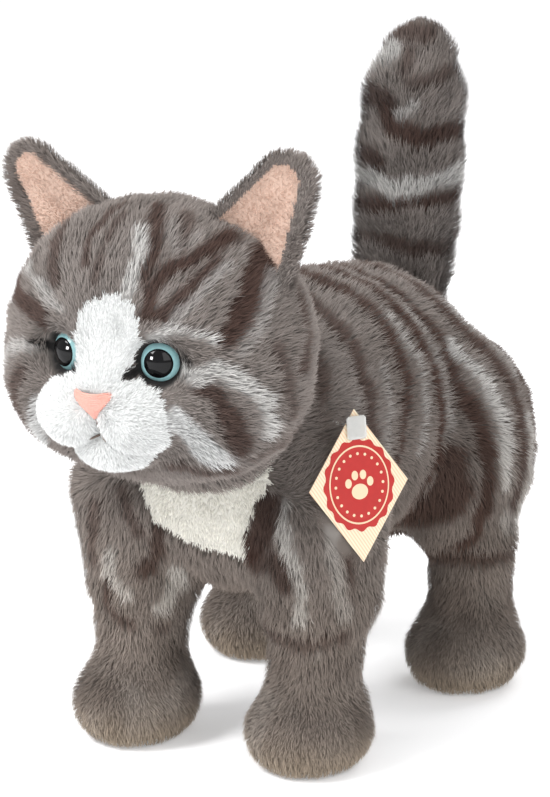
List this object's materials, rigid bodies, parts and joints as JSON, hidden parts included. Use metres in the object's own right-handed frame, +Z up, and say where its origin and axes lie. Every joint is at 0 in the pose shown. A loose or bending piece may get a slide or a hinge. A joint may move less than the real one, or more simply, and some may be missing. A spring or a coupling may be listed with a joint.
{
  "type": "plush cat",
  "caption": "Standing tabby plush cat with a white muzzle and bib, teal eyes, pink nose, upright tail and a diamond hang tag.",
  "frame": {"origin": "on the floor below the middle of the toy's overall length and width", "axes": "+Z up, the cat looks along -Y, its left side is +X"},
  "size_m": [0.1233, 0.2456, 0.2245],
  "materials": {
    "grey_pile": "grey, brown and white tabby pile fabric",
    "cream_pile": "white to cream pile fabric",
    "peach_pile": "short peach pile fabric",
    "fibre_filling": "loose polyester fibre",
    "black_felt": "black felt",
    "pink_thread": "satin-stitched pink thread",
    "dark_thread": "dark twisted thread",
    "iris_plastic": "glossy pale teal",
    "pupil_plastic": "glossy black",
    "washer_plastic": "plain white",
    "tag_paper": "cream card with fine lines",
    "tag_print": "plain red print with a cream ring and a paw",
    "clear_plastic": "cloudy clear nylon"
  },
  "bodies": {
    "torso": {"torso_left_panel": "grey_pile", "torso_right_panel": "grey_pile", "belly_panel": "grey_pile", "chest_bib_panel": "cream_pile", "torso_filling": "fibre_filling", "tag_tbar": "clear_plastic"},
    "neck": {"neck_filling": "fibre_filling"},
    "head": {"head_left_panel": "grey_pile", "head_right_panel": "grey_pile", "nose_bridge_panel": "cream_pile", "chin_panel": "cream_pile", "muzzle_cover": "cream_pile", "muzzle_filling": "fibre_filling", "head_filling": "fibre_filling", "nose_pad": "pink_thread", "mouth_threads": "dark_thread", "left_eye_iris": "iris_plastic", "left_eye_pupil": "pupil_plastic", "left_eye_felt": "black_felt", "left_eye_washer": "washer_plastic", "right_eye_iris": "iris_plastic", "right_eye_pupil": "pupil_plastic", "right_eye_felt": "black_felt", "right_eye_washer": "washer_plastic"},
    "left_ear": {"left_ear_back": "grey_pile", "left_ear_lining": "peach_pile"},
    "right_ear": {"right_ear_back": "grey_pile", "right_ear_lining": "peach_pile"},
    "tail": {"tail_left_panel": "grey_pile", "tail_right_panel": "grey_pile", "tail_filling": "fibre_filling"},
    "front_left_leg": {"front_left_leg_cover": "grey_pile", "front_left_leg_filling": "fibre_filling", "front_left_sole_panel": "grey_pile"},
    "front_right_leg": {"front_right_leg_cover": "grey_pile", "front_right_leg_filling": "fibre_filling", "front_right_sole_panel": "grey_pile"},
    "rear_left_leg": {"rear_left_leg_cover": "grey_pile", "rear_left_leg_filling": "fibre_filling", "rear_left_sole_panel": "grey_pile"},
    "rear_right_leg": {"rear_right_leg_cover": "grey_pile", "rear_right_leg_filling": "fibre_filling", "rear_right_sole_panel": "grey_pile"},
    "tag_clip": {"tag_fastener": "clear_plastic"},
    "tag": {"tag_card": "tag_paper", "tag_seal": "tag_print"}
  },
  "joints": [
    {"name": "head_turn", "type": "hinge", "parent": "torso", "child": "neck", "pos_m": [0, -0.052, 0.118], "axis": [0, 0, 1], "range_deg": [-20, 20]},
    {"name": "head_nod", "type": "hinge", "parent": "neck", "child": "head", "pos_m": [0, -0.052, 0.118], "axis": [1, 0, 0], "range_deg": [-12, 12]},
    {"name": "tail_bend", "type": "hinge", "parent": "torso", "child": "tail", "pos_m": [0, 0.095, 0.134], "axis": [1, 0, 0], "range_deg": [-20, 20]},
    {"name": "left_ear_flex", "type": "hinge", "parent": "head", "child": "left_ear", "pos_m": [0.0346, -0.078, 0.1823], "axis": [0.775, 0, -0.632], "range_deg": [-15, 15]},
    {"name": "right_ear_flex", "type": "hinge", "parent": "head", "child": "right_ear", "pos_m": [-0.0346, -0.078, 0.1823], "axis": [0.775, 0, 0.632], "range_deg": [-15, 15]},
    {"name": "front_left_leg_flex", "type": "hinge", "parent": "torso", "child": "front_left_leg", "pos_m": [0.0332, -0.0343, 0.066], "axis": [1, 0, 0], "range_deg": [-12, 12]},
    {"name": "front_right_leg_flex", "type": "hinge", "parent": "torso", "child": "front_right_leg", "pos_m": [-0.0332, -0.0343, 0.066], "axis": [1, 0, 0], "range_deg": [-12, 12]},
    {"name": "rear_left_leg_flex", "type": "hinge", "parent": "torso", "child": "rear_left_leg", "pos_m": [0.038, 0.0683, 0.066], "axis": [1, 0, 0], "range_deg": [-12, 12]},
    {"name": "rear_right_leg_flex", "type": "hinge", "parent": "torso", "child": "rear_right_leg", "pos_m": [-0.038, 0.0683, 0.066], "axis": [1, 0, 0], "range_deg": [-12, 12]},
    {"name": "tag_lift", "type": "hinge", "parent": "torso", "child": "tag_clip", "pos_m": [0.0414, -0.0338, 0.1162], "axis": [0.5589, 0.8293, 0], "range_deg": [-50, 0]},
    {"name": "tag_swing", "type": "hinge", "parent": "tag_clip", "child": "tag", "pos_m": [0.0492, -0.03906, 0.11754], "axis": [0.821, -0.5533, 0.1411], "range_deg": [-30, 30]}
  ]
}
